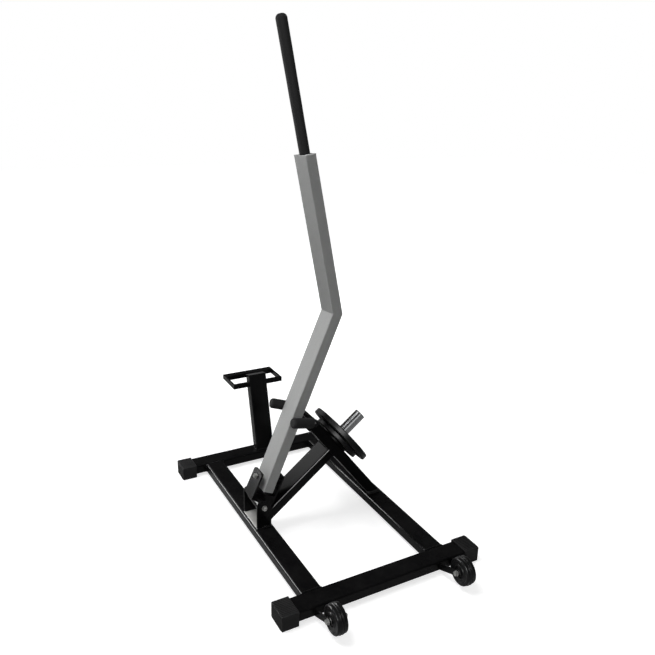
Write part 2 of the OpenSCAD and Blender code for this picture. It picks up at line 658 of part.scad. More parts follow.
// Plug at the upper end of the tube that carries the grip rod
module lever_top_cap() {
  color([0.6, 0.61, 0.61])
  upper_frame() difference() {
    union() {
      translate([-lever_h / 2, -arm_d / 2, lever_up]) cube([lever_h, arm_d, 2.5]);
      translate([-lever_h / 2 + tube_t + plug_play, -arm_d / 2 + tube_t + plug_play, lever_up - 40])
        cube([lever_h - 2 * (tube_t + plug_play), arm_d - 2 * (tube_t + plug_play), 40 + eps]);
    }
    translate([0, 0, lever_up - cut / 2]) cylinder(r = rod_r, h = cut, $fn = 48);
  }
}
module grip_rod() {
  color([0.6, 0.61, 0.61])
  upper_frame() translate([0, 0, lever_up - 40]) cylinder(r = rod_r, h = 40 + grip_len - grip_r, $fn = 48);
}
module grip() {
  k = grip_r * 0.6;
  color([0.1, 0.1, 0.105])
  upper_frame() translate([0, 0, lever_up + 2.5]) difference() {
    rotate_extrude($fn = 56) union() {
      square([grip_r, grip_len - k]);
      translate([0, grip_len - k - eps]) square([grip_r - k, k + eps]);
      intersection() {
        translate([grip_r - k, grip_len - k]) circle(r = k, $fn = 40);
        square([grip_r, grip_len]);
      }
    }
    translate([0, 0, -1]) cylinder(r = rod_r, h = 1 + grip_len - grip_r - 2.5, $fn = 48);
  }
}

front_tube();
rear_tube();
rail_left();
rail_right();
cap_front_left();
cap_front_right();
cap_rear_left();
cap_rear_right();
post();
post_cap();
pad_ring();
pivot_base();
pivot_plates();
axle_bolt();
axle_nut();
wheel_brackets();
wheel_bolts();
wheel_nuts();
tyre_left();
tyre_right();
wheel_hub_left();
wheel_hub_right();
hub_tube();
yoke();
arm_tube();
arm_plug();
rest_bar();
rest_pad();
fork_rod();
peg_studs();
peg_front();
peg_rear();
sleeve();
sleeve_cap();
collar();
plate_small();
plate_big();
lever_bolt();
lever_nut();
lever_tube();
lever_bush();
lever_foot_cap();
lever_top_cap();
grip_rod();
grip();
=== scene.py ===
import json
import math
import random

import bmesh
import bpy
from mathutils import Matrix, Vector

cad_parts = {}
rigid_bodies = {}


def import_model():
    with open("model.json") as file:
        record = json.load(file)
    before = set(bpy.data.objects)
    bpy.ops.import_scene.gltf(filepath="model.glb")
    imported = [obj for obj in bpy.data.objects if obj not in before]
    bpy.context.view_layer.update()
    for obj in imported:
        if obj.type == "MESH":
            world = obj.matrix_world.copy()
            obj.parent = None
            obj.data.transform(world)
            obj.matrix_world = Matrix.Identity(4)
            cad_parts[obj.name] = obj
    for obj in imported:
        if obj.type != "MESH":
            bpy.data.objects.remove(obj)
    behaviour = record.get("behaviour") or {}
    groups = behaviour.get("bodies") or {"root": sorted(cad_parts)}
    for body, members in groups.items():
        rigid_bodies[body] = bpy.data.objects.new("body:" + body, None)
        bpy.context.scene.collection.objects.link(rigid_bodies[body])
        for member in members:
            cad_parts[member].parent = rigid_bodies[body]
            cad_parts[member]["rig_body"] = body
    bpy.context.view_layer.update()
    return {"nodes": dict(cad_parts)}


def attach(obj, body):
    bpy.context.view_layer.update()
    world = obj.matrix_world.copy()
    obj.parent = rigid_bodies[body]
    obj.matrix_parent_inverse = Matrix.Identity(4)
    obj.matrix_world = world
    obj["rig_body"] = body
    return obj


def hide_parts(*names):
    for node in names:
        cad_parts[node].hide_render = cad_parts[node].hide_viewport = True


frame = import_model()
NODES = frame["nodes"]
MM = 0.001

# Sizes in millimetres and angles in degrees, the same as in the part's source
CROSS_LEN, TUBE_W, TUBE_H, TUBE_T = 872.0, 85.0, 45.0, 3.0
RAIL_X, RAIL_LEN, REAR_Y = 280.0, 1030.0, 1115.0
CAP_LEN, CAP_WALL, CAP_FOOT, CAP_RIB, CAP_PITCH = 63.0, 4.5, 14.0, 1.6, 8.0
Z_TUBE, Z_TOP = 14.0, 59.0
POST_W, POST_D, POST_LEN, POST_LEAN = 92.0, 46.0, 385.0, 14.4
RING_D, RING_FRONT, RING_H, RING_TOP = 154.0, 14.0, 23.0, 340.0
WHEEL_R, WHEEL_W, WHEEL_HUB_R, WHEEL_FWD, WHEEL_UP = 56.0, 42.0, 24.0, 99.0, 13.0
HUB_PROUD = 2.0                           # how far a wheel's hub stands out of its tyre on each side
BRACKET_T, BRACKET_OFF, WHEEL_BOLT_R = 5.0, 30.0, 6.0
PIVOT_Y, AXLE_H, AXLE_R, PIVOT_GAP, PIVOT_T, PIVOT_W = 585.0, 95.0, 6.0, 133.0, 6.0, 65.0
HUB_R = 25.0
ARM_D, ARM_H, ARM_SLOPE, ARM_DROP, ARM_START = 98.0, 46.0, 38.2, 72.7, -18.0
BAR_S, BAR_T, BAR_TOP = 383.0, 45.0, 120.0
STRIP_T, STRIP_H = 8.0, 26.0
REST_T, REST_GAP = 14.0, 0.3
SLEEVE_R, SLEEVE_T, SLEEVE_LEN = 25.0, 4.0, 165.0
COLLAR_R, COLLAR_T = 66.0, 8.0
SMALL_R, SMALL_T, BIG_R, BIG_T, PLATE_FIT, BOSS_R, BOSS_H = 112.0, 22.0, 149.0, 25.0, 0.5, 32.0, 4.0
LEVER_H, LEVER_TILT, LEVER_BEND, LEVER_LOW, LEVER_UP = 47.0, 24.9, 35.6, 754.0, 650.0
LEVER_LEAN, LEVER_TAIL, BOLT_S, BOLT_M, BOLT_R, BUSH_T = 3.5, 45.0, 92.6, 44.2, 6.0, 8.0
EAR_N, EAR_T, YOKE_PLAY = 55.0, 8.0, 0.6
GRIP_R, GRIP_LEN, ROD_R = 22.0, 500.0, 12.5
PEG_R, PEG_LEN, PEG_SPLAY, PEG_DIP = 21.5, 126.0, 11.0, 8.0
FORK_R, ROD_SHIFT = 12.0, 10.0
GAP, WASHER_T = 0.3, 3.0
WASHER_K, HEX_K, HEX_H = 1.9, 1.7, 0.62   # washer and hexagon, as shares of the bolt's radius or diameter
BOLT_TIP = 4.0                            # how far a bolt reaches past its nut
SLEEVE_PLUG, SLEEVE_LIP = 18.0, 3.0       # depth of the sleeve's plug and thickness of its rim
ROD_IN, TOP_CAP_T = 40.0, 2.5             # the grip's rod inside the lever, and the cap that it comes through

# Sizes of the visual model alone, in millimetres and degrees
FLOOR_TUBE_R, POST_TUBE_R, ARM_TUBE_R, BAR_TUBE_R, LEVER_TUBE_R = 8.0, 5.0, 9.0, 2.5, 4.5   # tubes' corners
BORE_PLAY = 0.06
# Edges past these angles stay sharp: on most pieces, bolts, softened copies, moulded or foam pieces, and beads
SHARP_ANGLE, BOLT_SHARP, SOFT_SHARP, MOULD_SHARP, BEAD_SHARP = 32.0, 28.0, 30.0, 50.0, 60.0
# A softened copy's edges past the first angle are rounded, and those under the second are dissolved
BEVEL_ANGLE, FLAT_ANGLE = 30.0, 0.6
BEAD_STEP, BEAD_SEGS = 2.6, 8
# A weld bead's rings, as shares of its radius: the least, the rise on every third, the most by chance, and the ends
BEAD_LEAST, BEAD_RIPPLE, BEAD_CHANCE, BEAD_END = 0.86, 0.16, 0.06, 0.45
SAME_MM, SAME_M = 1e-4, 1e-6              # points closer than this are merged, in millimetres and in metres
WELD_LIFT, WELD_END = 0.8, 3.0            # from a corner to a weld bead's middle, and from an edge to its end


def rad(a):
    return math.radians(a)


def hex_height(r):
    return r * 2 * HEX_H


POST_Y0 = REAR_Y + (TUBE_W - POST_D / math.cos(rad(POST_LEAN))) / 2
RING_Y0 = POST_Y0 + RING_TOP * math.tan(rad(POST_LEAN))
RING_Y1 = RING_Y0 + RING_D
Y_MID = (RING_Y1 - WHEEL_FWD - WHEEL_R) / 2
AXLE_Z = Z_TOP + AXLE_H
BAR_NEAR, BAR_FAR = BAR_S - BAR_T / 2, BAR_S + BAR_T / 2
LEVER_A = LEVER_TILT + ARM_SLOPE
US, UM = math.sin(rad(LEVER_A)), math.cos(rad(LEVER_A))
NS, NM = UM, -US
FORK_M = BAR_TOP + FORK_R
FORK_S = BAR_S + ROD_SHIFT
FORK_U = (FORK_S - BOLT_S) * US + (FORK_M - BOLT_M) * UM
FORK_N = (FORK_S - BOLT_S) * NS + (FORK_M - BOLT_M) * NM
LEVER_SIDE = ARM_D / 2 / math.cos(rad(LEVER_LEAN)) + FORK_U * math.tan(rad(LEVER_LEAN))
PEG_OUT = (math.sin(rad(LEVER_LEAN)) * math.sin(rad(PEG_DIP)) * math.cos(rad(PEG_SPLAY))
           + math.cos(rad(LEVER_LEAN)) * math.sin(rad(PEG_SPLAY)))
PEG_BACK = math.cos(rad(PEG_DIP)) * math.cos(rad(PEG_SPLAY))
PEG_Y = LEVER_SIDE + ((PEG_R + GAP) * math.hypot(PEG_OUT, PEG_BACK) - (FORK_N - LEVER_H / 2) * PEG_OUT) / (
    math.cos(rad(LEVER_LEAN)) * PEG_BACK)
WHEEL_Z = Z_TOP + WHEEL_UP
WHEEL_X = -BRACKET_OFF + BRACKET_T + WASHER_T
HUB_W = WHEEL_W + 2 * HUB_PROUD
PLATE_OUT = HUB_W + WASHER_T + BRACKET_T


def T(x, y, z):
    return Matrix.Translation((x, y, z))


def rot(a, axis):
    return Matrix.Rotation(rad(a), 4, axis)


PLACE = T(0, -Y_MID, 0)
ARM = PLACE @ T(-RAIL_X, PIVOT_Y, AXLE_Z) @ rot(-ARM_SLOPE, "Y")
LEVER = ARM @ T(BOLT_S, 0, BOLT_M) @ rot(LEVER_A, "Y")
LEAN = LEVER @ rot(-LEVER_LEAN, "X")
UPPER = LEAN @ T(0, 0, LEVER_LOW) @ rot(-LEVER_BEND, "Y")


def along_arm(s):
    return ARM @ T(s, 0, -ARM_DROP) @ rot(90, "Y")


def peg_frame(side):
    return (ARM @ T(FORK_S, side * PEG_Y, FORK_M) @ rot(LEVER_A - PEG_DIP, "Y")
            @ rot(side * -PEG_SPLAY, "Z") @ rot(-90, "Y"))


def at_wheel(side):
    return PLACE @ T(side * RAIL_X + WHEEL_X, -WHEEL_FWD, WHEEL_Z) @ rot(90, "Y")


# ---------------------------------------------------------------- materials
def new_material(name):
    m = bpy.data.materials.new(name)
    m.use_nodes = True
    nt = m.node_tree
    nt.nodes.clear()
    out = nt.nodes.new("ShaderNodeOutputMaterial")
    bsdf = nt.nodes.new("ShaderNodeBsdfPrincipled")
    nt.links.new(bsdf.outputs[0], out.inputs[0])
    return m, nt, bsdf


def coords(nt):
    return nt.nodes.new("ShaderNodeTexCoord").outputs["Object"]


def noise(nt, vec, scale, detail, rough=0.55):
    n = nt.nodes.new("ShaderNodeTexNoise")
    n.inputs["Scale"].default_value = scale
    n.inputs["Detail"].default_value = detail
    n.inputs["Roughness"].default_value = rough
    nt.links.new(vec, n.inputs["Vector"])
    return n.outputs["Fac"]


def voronoi(nt, vec, scale):
    n = nt.nodes.new("ShaderNodeTexVoronoi")
    n.inputs["Scale"].default_value = scale
    nt.links.new(vec, n.inputs["Vector"])
    return n.outputs["Distance"]


def ramp(nt, fac, stops):
    """Colour ramp over the value fac; stops are (place, colour or grey value)."""
    r = nt.nodes.new("ShaderNodeValToRGB")
    els = r.color_ramp.elements
    while len(els) < len(stops):
        els.new(0.5)
    for e, (p, c) in zip(els, stops):
        e.position = p
        e.color = (*c, 1) if hasattr(c, "__len__") else (c, c, c, 1)
    nt.links.new(fac, r.inputs[0])
    return r.outputs[0]


def maths(nt, op, a, b, c=None):
    n = nt.nodes.new("ShaderNodeMath")
    n.operation = op
    for sock, v in zip(n.inputs, (a, b, c)):
        if v is None:
            continue
        if isinstance(v, (int, float)):
            sock.default_value = v
        else:
            nt.links.new(v, sock)
    return n.outputs[0]


def map_range(nt, value, low, high, to_low, to_high, smooth=False):
    n = nt.nodes.new("ShaderNodeMapRange")
    n.interpolation_type = "SMOOTHSTEP" if smooth else "LINEAR"
    for key, v in (("From Min", low), ("From Max", high), ("To Min", to_low), ("To Max", to_high)):
        n.inputs[key].default_value = v
    nt.links.new(value, n.inputs["Value"])
    return n.outputs[0]


def mix(nt, fac, a, b):
    n = nt.nodes.new("ShaderNodeMix")
    n.data_type = "RGBA"
    for sock, v in ((n.inputs[0], fac), (n.inputs[6], a), (n.inputs[7], b)):
        if isinstance(v, (int, float)):
            sock.default_value = v
        elif isinstance(v, tuple):
            sock.default_value = (*v, 1)
        else:
            nt.links.new(v, sock)
    return n.outputs[2]


def bump(nt, height, strength, distance):
    n = nt.nodes.new("ShaderNodeBump")
    n.inputs["Strength"].default_value = strength
    n.inputs["Distance"].default_value = distance
    nt.links.new(height, n.inputs["Height"])
    return n.outputs[0]


def edge_mask(nt, radius, low, high):
    """1 on sharp convex edges and 0 on flat faces."""
    bev = nt.nodes.new("ShaderNodeBevel")
    bev.samples = 4
    bev.inputs["Radius"].default_value = radius
    geo = nt.nodes.new("ShaderNodeNewGeometry")
    dot = nt.nodes.new("ShaderNodeVectorMath")
    dot.operation = "DOT_PRODUCT"
    nt.links.new(bev.outputs[0], dot.inputs[0])
    nt.links.new(geo.outputs["Normal"], dot.inputs[1])
    return map_range(nt, maths(nt, "SUBTRACT", 1.0, dot.outputs["Value"]), low, high, 0.0, 1.0)


# Numbers that all finishes share
WEAR_ROUGH = 0.4
# Width and spots of the edges' lighter colour, which is partly wear and partly a painted highlight
EDGE_WEAR_AND_HIGHLIGHT_WIDTH = 0.0016          # metres in from an edge
EDGE_WEAR_AND_HIGHLIGHT_NOISE, DUST_NOISE = 90.0, 26.0
GRAIN_DARK, GRAIN_LIGHT = 0.88, 1.06
DUST_ROUGH, SHEEN_ROUGH = 0.5, 0.5
DUST = (0.2, 0.195, 0.185)
# Near-black colour of the painted shade in grooves
GROOVE_SHADE = (0.001, 0.001, 0.001)


def surface(name, dark, light, rough, big, fine, fine_depth, fine_strength, metallic=0.0, specular=0.5,
            edge_wear_and_highlight=None, edge_wear_and_highlight_amount=0.0, cells=0.0, sheen=0.0, dust=0.0, groove_shade=0.0):
    """One procedural finish: colour and gloss that vary, a fine relief, edges lighter by wear and by a painted
    highlight, painted shade in grooves, and dust.
    big and fine are the scales of its noises, cells the scale of a foam's pores, and the reach of the shade painted
    into grooves is given in metres."""
    m, nt, bsdf = new_material(name)
    vec = coords(nt)
    large = noise(nt, vec, big, 4)
    small = noise(nt, vec, fine, 3)
    col = mix(nt, ramp(nt, large, [(0.3, 0.0), (0.7, 1.0)]), dark, light)
    grain = ramp(nt, small, [(0.35, GRAIN_DARK), (0.65, GRAIN_LIGHT)])
    shade = nt.nodes.new("ShaderNodeMix")
    shade.data_type = "RGBA"
    shade.blend_type = "MULTIPLY"
    shade.inputs[0].default_value = 1.0
    nt.links.new(col, shade.inputs[6])
    nt.links.new(grain, shade.inputs[7])
    col = shade.outputs[2]
    r = maths(nt, "MULTIPLY_ADD", large, rough[1] - rough[0], rough[0])
    height = small
    if cells:
        height = voronoi(nt, vec, cells)
    # Lighter edges: partly wear and partly a painted highlight along every convex edge
    if edge_wear_and_highlight_amount:
        wear_and_highlight_spots = ramp(nt, noise(nt, vec, EDGE_WEAR_AND_HIGHLIGHT_NOISE, 4, 0.65), [(0.46, 0.0), (0.6, 1.0)])
        edge = maths(nt, "MULTIPLY", edge_mask(nt, EDGE_WEAR_AND_HIGHLIGHT_WIDTH, 0.05, 0.3), wear_and_highlight_spots)
        edge = maths(nt, "MULTIPLY", edge, edge_wear_and_highlight_amount)
        col = mix(nt, edge, col, edge_wear_and_highlight)
        r = maths(nt, "MULTIPLY_ADD", edge, WEAR_ROUGH - rough[0], r)
    # Painted shade: grooves and hollows are darkened by ambient occlusion
    if groove_shade:
        ao = nt.nodes.new("ShaderNodeAmbientOcclusion")
        ao.samples = 8
        ao.inputs["Distance"].default_value = groove_shade
        col = mix(nt, ramp(nt, ao.outputs["AO"], [(0.62, 1.0), (0.94, 0.0)]), col, GROOVE_SHADE)
    if dust:
        geo = nt.nodes.new("ShaderNodeNewGeometry")
        sep = nt.nodes.new("ShaderNodeSeparateXYZ")
        nt.links.new(geo.outputs["Normal"], sep.inputs[0])
        up = ramp(nt, sep.outputs[2], [(0.6, 0.0), (1.0, 1.0)])
        spots = ramp(nt, noise(nt, vec, DUST_NOISE, 6, 0.7), [(0.4, 0.0), (0.75, 1.0)])
        d = maths(nt, "MULTIPLY", maths(nt, "MULTIPLY", up, spots), dust)
        col = mix(nt, d, col, DUST)
        r = maths(nt, "MULTIPLY_ADD", d, DUST_ROUGH, r)
    nt.links.new(col, bsdf.inputs["Base Color"])
    nt.links.new(r, bsdf.inputs["Roughness"])
    bsdf.inputs["Metallic"].default_value = metallic
    bsdf.inputs["Specular IOR Level"].default_value = specular
    if sheen:
        bsdf.inputs["Sheen Weight"].default_value = sheen
        bsdf.inputs["Sheen Roughness"].default_value = SHEEN_ROUGH
    nt.links.new(bump(nt, height, fine_strength, fine_depth), bsdf.inputs["Normal"])
    return m


# The light edge colours below are partly wear and partly a painted highlight
MATS = {
    "frame_paint": surface("frame_paint", (0.0035, 0.0035, 0.0038), (0.0065, 0.0065, 0.0068), (0.15, 0.21), big=7,
                           fine=420, fine_depth=0.00003, fine_strength=0.15, specular=0.065,
                           edge_wear_and_highlight=(0.12, 0.118, 0.115), edge_wear_and_highlight_amount=0.3, dust=0.02),
    "frame_matt": surface("frame_matt", (0.0035, 0.0035, 0.0038), (0.0065, 0.0065, 0.0068), (0.3, 0.4), big=7,
                          fine=420, fine_depth=0.00003, fine_strength=0.15, specular=0.015,
                          edge_wear_and_highlight=(0.12, 0.118, 0.115), edge_wear_and_highlight_amount=0.3),
    "lever_paint": surface("lever_paint", (0.395, 0.40, 0.395), (0.435, 0.44, 0.435), (0.42, 0.55), big=5, fine=700,
                           fine_depth=0.00004, fine_strength=0.18, specular=0.025, edge_wear_and_highlight=(0.62, 0.62, 0.61),
                           edge_wear_and_highlight_amount=0.8),
    "zinc": surface("zinc", (0.42, 0.42, 0.41), (0.52, 0.52, 0.505), (0.4, 0.52), metallic=1.0, big=60, fine=900,
                    fine_depth=0.00003, fine_strength=0.2, edge_wear_and_highlight=(0.35, 0.34, 0.32), edge_wear_and_highlight_amount=0.3),
    "plated": surface("plated", (0.42, 0.42, 0.41), (0.52, 0.52, 0.50), (0.4, 0.55), metallic=0.1, big=40, fine=700,
                      fine_depth=0.00004, fine_strength=0.25, edge_wear_and_highlight=(0.3, 0.29, 0.27), edge_wear_and_highlight_amount=0.3),
    "chrome": surface("chrome", (0.20, 0.203, 0.206), (0.235, 0.238, 0.241), (0.24, 0.3), metallic=1.0, big=18,
                      fine=300, fine_depth=0.000002, fine_strength=0.03),
    "cast_iron": surface("cast_iron", (0.005, 0.005, 0.0055), (0.010, 0.010, 0.0105), (0.30, 0.44), big=16, fine=260,
                         fine_depth=0.00012, fine_strength=0.3, specular=0.05, edge_wear_and_highlight=(0.16, 0.16, 0.16),
                         edge_wear_and_highlight_amount=0.45),
    # the caps' rib grooves get painted shade
    "cap_rubber": surface("cap_rubber", (0.010, 0.010, 0.0105), (0.015, 0.015, 0.0155), (0.5, 0.65), big=24, fine=800,
                          fine_depth=0.00006, fine_strength=0.3, specular=0.08, edge_wear_and_highlight=(0.05, 0.05, 0.05),
                          edge_wear_and_highlight_amount=0.35, dust=0.02, groove_shade=0.008),
    "grip_rubber": surface("grip_rubber", (0.005, 0.005, 0.0055), (0.009, 0.009, 0.0095), (0.72, 0.9), big=14,
                           fine=1100, fine_depth=0.0002, fine_strength=0.5, specular=0.07, cells=1300, sheen=0.03),
    "tyre": surface("tyre", (0.004, 0.004, 0.0045), (0.008, 0.008, 0.0085), (0.26, 0.36), big=22, fine=600,
                    fine_depth=0.00004, fine_strength=0.2, specular=0.12, edge_wear_and_highlight=(0.06, 0.06, 0.058),
                    edge_wear_and_highlight_amount=0.4, dust=0.03),
    "black_plastic": surface("black_plastic", (0.005, 0.005, 0.0055), (0.010, 0.010, 0.0105), (0.3, 0.4), big=20,
                             fine=900, fine_depth=0.00003, fine_strength=0.25, specular=0.04,
                             edge_wear_and_highlight=(0.05, 0.05, 0.05), edge_wear_and_highlight_amount=0.3),
    "weld": surface("weld", (0.005, 0.005, 0.0055), (0.009, 0.009, 0.0095), (0.3, 0.45), big=90, fine=500,
                    fine_depth=0.0001, fine_strength=0.35, specular=0.02),
}


# ---------------------------------------------------------------- mesh tools
def to_object(bm, name, mesh_name):
    me = bpy.data.meshes.new(mesh_name)
    bm.to_mesh(me)
    bm.free()
    o = bpy.data.objects.new(name, me)
    bpy.context.scene.collection.objects.link(o)
    return o


def finish_piece(o, body, slot, nodes, sharp, material, weighted=True):
    """Gives a piece its material, from the slot unless one is named, its shading and its body, and hides the CAD
    nodes that it replaces.
    """
    me = o.data
    me.materials.clear()
    me.materials.append(MATS[material or slot])
    me.shade_smooth()
    me.set_sharp_from_angle(angle=rad(sharp))
    if weighted:
        w = o.modifiers.new("normals", "WEIGHTED_NORMAL")
        w.keep_sharp = True
        w.weight = 80
    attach(o, body)
    if nodes:
        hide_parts(*nodes)


def add(name, bm, frame_, body, slot, nodes=(), sharp=SHARP_ANGLE, material=None, weighted=True):
    """Turns a bmesh in millimetres of a local frame into a piece that rides on a body."""
    bmesh.ops.remove_doubles(bm, verts=bm.verts, dist=SAME_MM)
    bm.transform(frame_)
    bmesh.ops.scale(bm, vec=(MM, MM, MM), verts=bm.verts)
    bmesh.ops.recalc_face_normals(bm, faces=bm.faces)
    finish_piece(to_object(bm, name, name), body, slot, nodes, sharp, material, weighted)


def rrect(a, b, r, n=6):
    """Outline of a rectangle 2a by 2b with corners of radius r, counterclockwise from the right side."""
    pts = []
    for cx, cy, a0 in ((a - r, b - r, 0), (-a + r, b - r, 90), (-a + r, -b + r, 180), (a - r, -b + r, 270)):
        for i in range(n + 1):
            t = rad(a0 + 90 * i / n)
            pts.append((cx + r * math.cos(t), cy + r * math.sin(t)))
    return pts


def loft(bm, loops, cap_start=True, cap_end=True):
    """Skins a list of loops of 3-D points that have the same count."""
    vs = [[bm.verts.new(p) for p in lp] for lp in loops]
    n = len(loops[0])
    for a, b in zip(vs, vs[1:]):
        for i in range(n):
            bm.faces.new((a[i], a[(i + 1) % n], b[(i + 1) % n], b[i]))
    if cap_start:
        bm.faces.new(list(reversed(vs[0])))
    if cap_end:
        bm.faces.new(vs[-1])
    return vs


def tube(bm, w, h, r, stations, closed_end):
    """Hollow tube of outside w (first cross axis) by h (second) with corners of radius r. stations are functions
    of the cross point that give the 3-D point; the first and last are the ends. closed_end closes the last end."""
    t = TUBE_T
    outer = rrect(w / 2, h / 2, r)
    inner = rrect(w / 2 - t, h / 2 - t, max(r - t, 0.8))
    outer_loops = [[s(*p) for p in outer] for s in stations]
    inner_loops = [[s(*p) for p in inner] for s in stations]
    if closed_end:
        inner_loops[-1] = [tuple(Vector(q) - (Vector(q) - Vector(p)).normalized() * t)
                           for p, q in zip(inner_loops[-2], inner_loops[-1])]
    loft(bm, outer_loops, cap_start=False, cap_end=closed_end)
    loft(bm, inner_loops, cap_start=False, cap_end=closed_end)
    # the rims that join the two skins
    for e in (0,) if closed_end else (0, -1):
        a = [bm.verts.new(p) for p in outer_loops[e]]
        b = [bm.verts.new(p) for p in inner_loops[e]]
        n = len(a)
        for i in range(n):
            bm.faces.new((a[i], a[(i + 1) % n], b[(i + 1) % n], b[i]))
    bmesh.ops.remove_doubles(bm, verts=bm.verts, dist=SAME_MM)


def tube_piece(node, w, h, r, stations, frame_, body, slot="frame_paint", closed_end=False, material=None):
    bm = bmesh.new()
    tube(bm, w, h, r, stations, closed_end)
    add(node + "_piece", bm, frame_, body, slot, (node,), material=material)


def fillet(points, radii, n):
    """Rounds the corners of an open or closed 2-D outline. radii holds one radius for each point, 0 for sharp,
    and n is the number of steps in a corner."""
    out = []
    k = len(points)
    for i, (p, r) in enumerate(zip(points, radii)):
        if r <= 0:
            out.append(p)
            continue
        a, b, c = Vector(points[i - 1]), Vector(p), Vector(points[(i + 1) % k])
        u, v = (a - b).normalized(), (c - b).normalized()
        half = u.angle(v) / 2
        d = r / math.tan(half)
        lim = 0.48 * min((a - b).length, (c - b).length)
        if d > lim:
            d = lim
            r = d * math.tan(half)
        centre = b + (u + v).normalized() * (r / math.sin(half))
        s, e = b + u * d, b + v * d
        a0 = math.atan2(*(s - centre).yx)
        a1 = math.atan2(*(e - centre).yx)
        while a1 - a0 > math.pi:
            a1 -= 2 * math.pi
        while a1 - a0 < -math.pi:
            a1 += 2 * math.pi
        for j in range(n + 1):
            t = a0 + (a1 - a0) * j / n
            out.append((centre.x + r * math.cos(t), centre.y + r * math.sin(t)))
    return out


def lathe(bm, profile, segs, closed=True):
    """Turns (radius, height) points round Z. closed joins the last point to the first."""
    turns = [2 * math.pi * i / segs for i in range(segs)]
    rings = []
    for r, z in profile:
        if r < SAME_MM:
            rings.append([bm.verts.new((0, 0, z))])
        else:
            rings.append([bm.verts.new((r * math.cos(t), r * math.sin(t), z)) for t in turns])
    pairs = list(zip(rings, rings[1:])) + ([(rings[-1], rings[0])] if closed else [])
    for a, b in pairs:
        for i in range(segs):
            j = (i + 1) % segs
            if len(a) == 1 and len(b) == 1:
                continue
            if len(a) == 1:
                bm.faces.new((a[0], b[i], b[j]))
            elif len(b) == 1:
                bm.faces.new((a[i], a[j], b[0]))
            else:
                bm.faces.new((a[i], a[j], b[j], b[i]))


def turned(name, profile, radii, frame_, body, slot, nodes=(), segs=64, n=4, closed=True, sharp=SHARP_ANGLE,
           material=None):
    bm = bmesh.new()
    lathe(bm, fillet(profile, radii, n), segs, closed)
    add(name, bm, frame_, body, slot, nodes, sharp, material)


def soften(node, width, slot, segs=2, material=None):
    """A copy of a CAD node with every sharp edge rounded to that width in millimetres, in place of the node."""
    src = NODES[node]
    bm = bmesh.new()
    bm.from_mesh(src.data)
    bmesh.ops.remove_doubles(bm, verts=bm.verts, dist=SAME_M)
    bmesh.ops.dissolve_limit(bm, angle_limit=rad(FLAT_ANGLE), verts=bm.verts, edges=bm.edges)
    bmesh.ops.recalc_face_normals(bm, faces=bm.faces)
    o = to_object(bm, node + "_piece", node)
    b = o.modifiers.new("round", "BEVEL")
    b.limit_method = "ANGLE"
    b.angle_limit = rad(BEVEL_ANGLE)
    b.width = width * MM
    b.segments = segs
    b.use_clamp_overlap = True
    finish_piece(o, src["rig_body"], slot, (node,), SOFT_SHARP, material)


def bead(bm, path, r, seed):
    """A weld bead: a run of overlapping ripples between two 3-D points."""
    rnd = random.Random(seed)
    a, b = (Vector(p) for p in path)
    count = max(int((b - a).length / (BEAD_STEP / 3)), 4)
    t = (b - a).normalized()
    up = Vector((0, 0, 1)) if abs(t.z) < 0.9 else Vector((1, 0, 0))
    side = t.cross(up).normalized()
    up = side.cross(t)
    turns = [2 * math.pi * j / BEAD_SEGS for j in range(BEAD_SEGS)]
    loops = []
    for k in range(count + 1):
        p = a.lerp(b, k / count)
        rr = r * (BEAD_LEAST + BEAD_RIPPLE * (k % 3 == 0) + BEAD_CHANCE * rnd.random())
        if k in (0, count):
            rr *= BEAD_END
        loops.append([tuple(p + (side * math.cos(w) + up * math.sin(w)) * rr) for w in turns])
    loft(bm, loops)


def welds(name, paths, body, r, frame_=PLACE):
    bm = bmesh.new()
    for i, p in enumerate(paths):
        bead(bm, p, r, seed=i + 7)
    add(name, bm, frame_, body, "frame_paint", sharp=BEAD_SHARP, material="weld", weighted=False)


def hex_head(bm, r):
    """Washer and chamfered hexagon for a bolt of radius r, along Z and standing on zero."""
    wr = r * WASHER_K
    lathe(bm, fillet([(r * 0.9, 0), (wr, 0), (wr, WASHER_T), (r * 0.9, WASHER_T)], [0, 0.5, 0.8, 0], 3), 56)
    corner = r * HEX_K
    flat = corner * math.cos(math.pi / 6)
    h = hex_height(r)
    n = 60                   # points round a loop

    def loop(radius, height):
        """Loop round the hexagon; radius and height are functions of its own radius at each point."""
        out = []
        for i in range(n):
            a = 2 * math.pi * i / n
            own = min(flat / math.cos((a % (math.pi / 3)) - math.pi / 6), corner * 0.99)
            out.append((radius(own) * math.cos(a), radius(own) * math.sin(a), WASHER_T + height(own)))
        return out

    loft(bm, [loop(lambda b: b - 0.4, lambda b: 0),
              loop(lambda b: b, lambda b: 0.4),
              loop(lambda b: b, lambda b: h - 0.35 - (b - flat) * 0.62),
              loop(lambda b: flat * 0.985 - 0.15, lambda b: h - 0.08),
              loop(lambda b: flat * 0.9, lambda b: h)])


def bolt_end(name, r, frame_, body, nodes, shank=None):
    """Head or nut with its washer. shank is the (from, to) of the bolt's shank along Z."""
    bm = bmesh.new()
    hex_head(bm, r)
    if shank:
        a, b = shank
        lathe(bm, fillet([(0, a), (r, a), (r, b), (0, b)], [0, 0.6, 1.2, 0], 3), 48, closed=False)
    add(name, bm, frame_, body, "zinc", nodes, sharp=BOLT_SHARP)


# ---------------------------------------------------------------- base frame
TUBE_MID = Z_TUBE + TUBE_H / 2


def straight(x0, x1):
    return [lambda a, b, x=x0: (x, a, b), lambda a, b, x=x1: (x, a, b)]


for node, y0 in (("front_tube", 0.0), ("rear_tube", REAR_Y)):
    tube_piece(node, TUBE_W, TUBE_H, FLOOR_TUBE_R, straight(-CROSS_LEN / 2, CROSS_LEN / 2),
               PLACE @ T(0, y0 + TUBE_W / 2, TUBE_MID), "base")
for node, side in (("rail_left", -1), ("rail_right", 1)):
    tube_piece(node, TUBE_W, TUBE_H, FLOOR_TUBE_R, straight(0, RAIL_LEN),
               PLACE @ T(side * RAIL_X, TUBE_W, TUBE_MID) @ rot(90, "Z"), "base")


